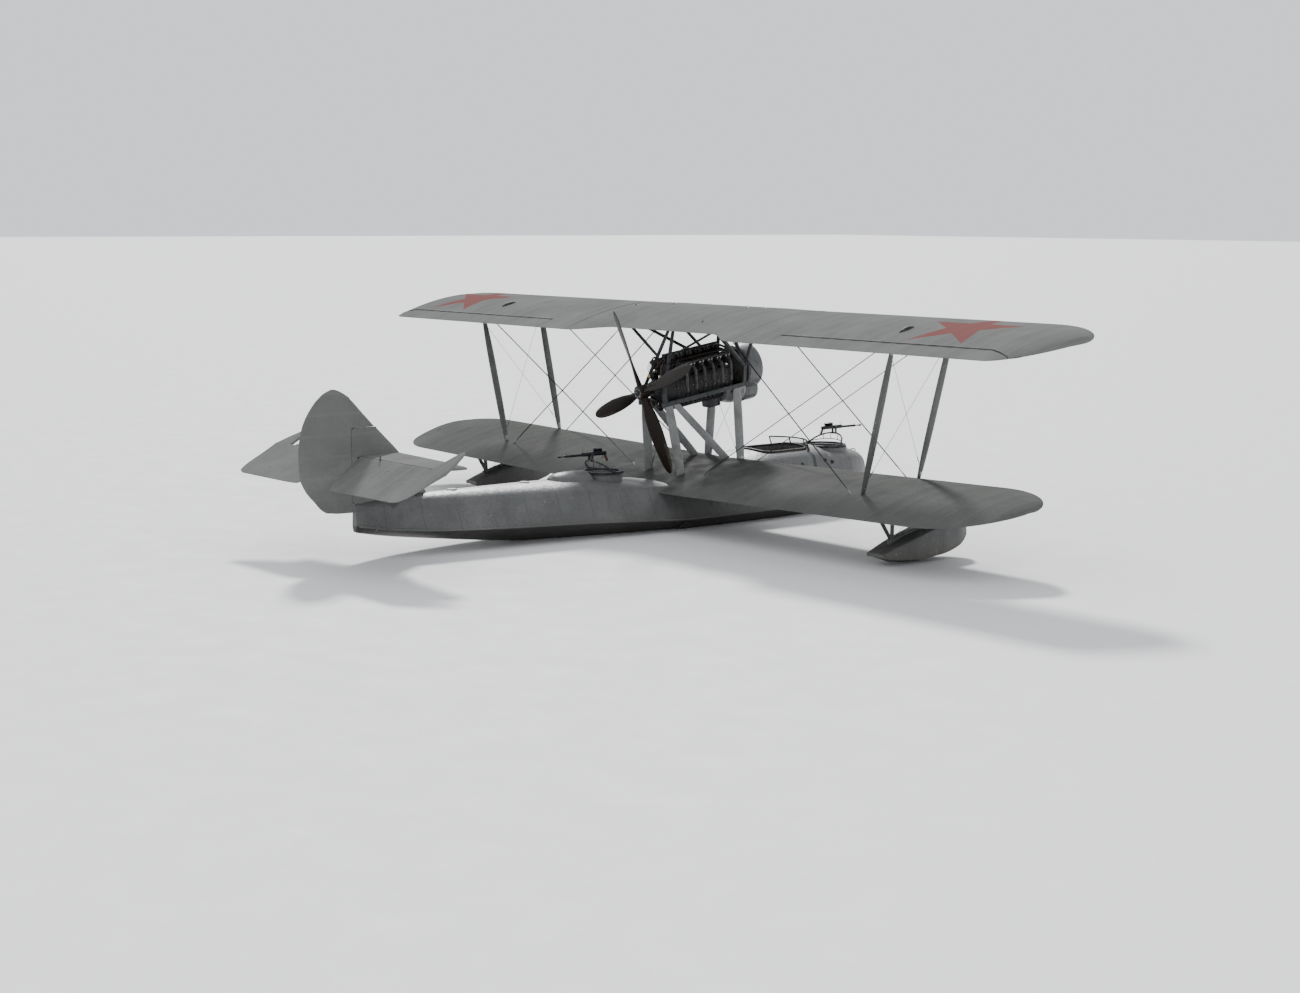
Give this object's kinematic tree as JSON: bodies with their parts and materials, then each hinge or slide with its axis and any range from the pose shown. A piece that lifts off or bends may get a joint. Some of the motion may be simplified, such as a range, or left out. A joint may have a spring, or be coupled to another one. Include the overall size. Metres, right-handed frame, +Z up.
{
  "type": "biplane flying boat with a pusher engine",
  "caption": "Wooden-hulled biplane flying boat with a pusher propeller between the wings, wing-tip floats, open cockpits and working control surfaces.",
  "frame": {"origin": "the middle of the hull at the step, on the waterline at which the boat floats", "axes": "+X to port along the span, +Y aft, +Z up; the bow points to -Y"},
  "size_m": [16.654, 12.26, 4.1925],
  "materials": {
    "hull_paint": "light grey paint over plywood",
    "bottom_paint": "black varnish over planking",
    "doped_fabric": "doped linen, satin",
    "strut_paint": "grey paint",
    "dark_paint": "dark grey paint",
    "steel_wire": "streamlined steel wire",
    "engine_metal": "dark cast metal",
    "gun_metal": "blued steel",
    "varnished_wood": "dark varnish",
    "leather": "worn brown leather",
    "glass": "clear"
  },
  "bodies": {
    "boat": {"hull_bow": "hull_paint", "hull_centre": "hull_paint", "hull_aft": "hull_paint", "planing_bottom_fore": "bottom_paint", "planing_bottom_aft": "bottom_paint", "windscreen": "glass", "instrument_panel": "varnished_wood", "seat_port": "varnished_wood", "seat_starboard": "varnished_wood", "seat_cushion_port": "leather", "seat_cushion_starboard": "leather", "control_columns": "dark_paint", "lower_wing_port": "doped_fabric", "lower_wing_starboard": "doped_fabric", "upper_wing_centre": "doped_fabric", "upper_wing_port": "doped_fabric", "upper_wing_starboard": "doped_fabric", "interplane_strut_front_port": "strut_paint", "interplane_strut_front_starboard": "strut_paint", "interplane_strut_rear_port": "strut_paint", "interplane_strut_rear_starboard": "strut_paint", "flying_wire_front_port": "steel_wire", "flying_wire_front_starboard": "steel_wire", "flying_wire_rear_port": "steel_wire", "flying_wire_rear_starboard": "steel_wire", "landing_wire_front_port": "steel_wire", "landing_wire_front_starboard": "steel_wire", "landing_wire_rear_port": "steel_wire", "landing_wire_rear_starboard": "steel_wire", "float_port": "hull_paint", "float_starboard": "hull_paint", "float_struts_port": "strut_paint", "float_struts_starboard": "strut_paint", "engine_frame_port": "strut_paint", "engine_frame_starboard": "strut_paint", "cabane_strut_front_port": "dark_paint", "cabane_strut_front_starboard": "dark_paint", "cabane_strut_rear_port": "dark_paint", "cabane_strut_rear_starboard": "dark_paint", "crankcase": "engine_metal", "cylinder_bank_centre": "engine_metal", "cylinder_bank_port": "engine_metal", "cylinder_bank_starboard": "engine_metal", "radiator_cowl": "hull_paint", "radiator_core": "dark_paint", "lower_cowling": "hull_paint", "fin": "doped_fabric", "tailplane": "doped_fabric", "tail_struts_port": "strut_paint", "tail_struts_starboard": "strut_paint"},
    "propeller": {"propeller": "varnished_wood"},
    "rudder": {"rudder": "doped_fabric"},
    "elevators": {"elevator_port": "doped_fabric", "elevator_starboard": "doped_fabric"},
    "aileron_port": {"aileron_port": "doped_fabric"},
    "aileron_starboard": {"aileron_starboard": "doped_fabric"},
    "nose_ring": {"gun_ring_nose": "dark_paint"},
    "nose_gun": {"gun_nose": "gun_metal"},
    "dorsal_ring": {"gun_ring_dorsal": "dark_paint"},
    "dorsal_gun": {"gun_dorsal": "gun_metal"}
  },
  "joints": [
    {"name": "propeller_spin", "type": "hinge", "parent": "boat", "child": "propeller", "pos_m": [0, 0.22, 2.34], "axis": [0, 0.9888, -0.1495], "continuous": true},
    {"name": "rudder_hinge", "type": "hinge", "parent": "boat", "child": "rudder", "pos_m": [0, 6.1, 1.7], "axis": [0, 0, 1], "range_deg": [-25, 25]},
    {"name": "elevator_hinge", "type": "hinge", "parent": "boat", "child": "elevators", "pos_m": [0, 5.98, 1.6], "axis": [1, 0, 0], "range_deg": [0, 52]},
    {"name": "aileron_hinge_starboard", "type": "hinge", "parent": "boat", "child": "aileron_starboard", "pos_m": [-5, -0.1392, 3.4176], "axis": [1, 0, 0], "range_deg": [-20, 20]},
    {"name": "aileron_hinge_port", "type": "hinge", "parent": "boat", "child": "aileron_port", "pos_m": [5, -0.1392, 3.4176], "axis": [1, 0, 0], "range_deg": [-20, 20]},
    {"name": "nose_ring_swivel", "type": "hinge", "parent": "boat", "child": "nose_ring", "pos_m": [0, -4.19, 1.13], "axis": [0, 0, 1], "range_deg": [-110, 110]},
    {"name": "nose_gun_elevation", "type": "hinge", "parent": "nose_ring", "child": "nose_gun", "pos_m": [0, -4.47, 1.44], "axis": [-1, 0, 0], "range_deg": [-10, 60]},
    {"name": "dorsal_ring_swivel", "type": "hinge", "parent": "boat", "child": "dorsal_ring", "pos_m": [0, 1.1, 1.02], "axis": [0, 0, 1], "range_deg": [-110, 110]},
    {"name": "dorsal_gun_elevation", "type": "hinge", "parent": "dorsal_ring", "child": "dorsal_gun", "pos_m": [0, 1.345, 1.33], "axis": [1, 0, 0], "range_deg": [-10, 60]}
  ],
  "couplings": [
    {"joint": "aileron_hinge_port", "follows": "aileron_hinge_starboard", "ratio": -1}
  ]
}
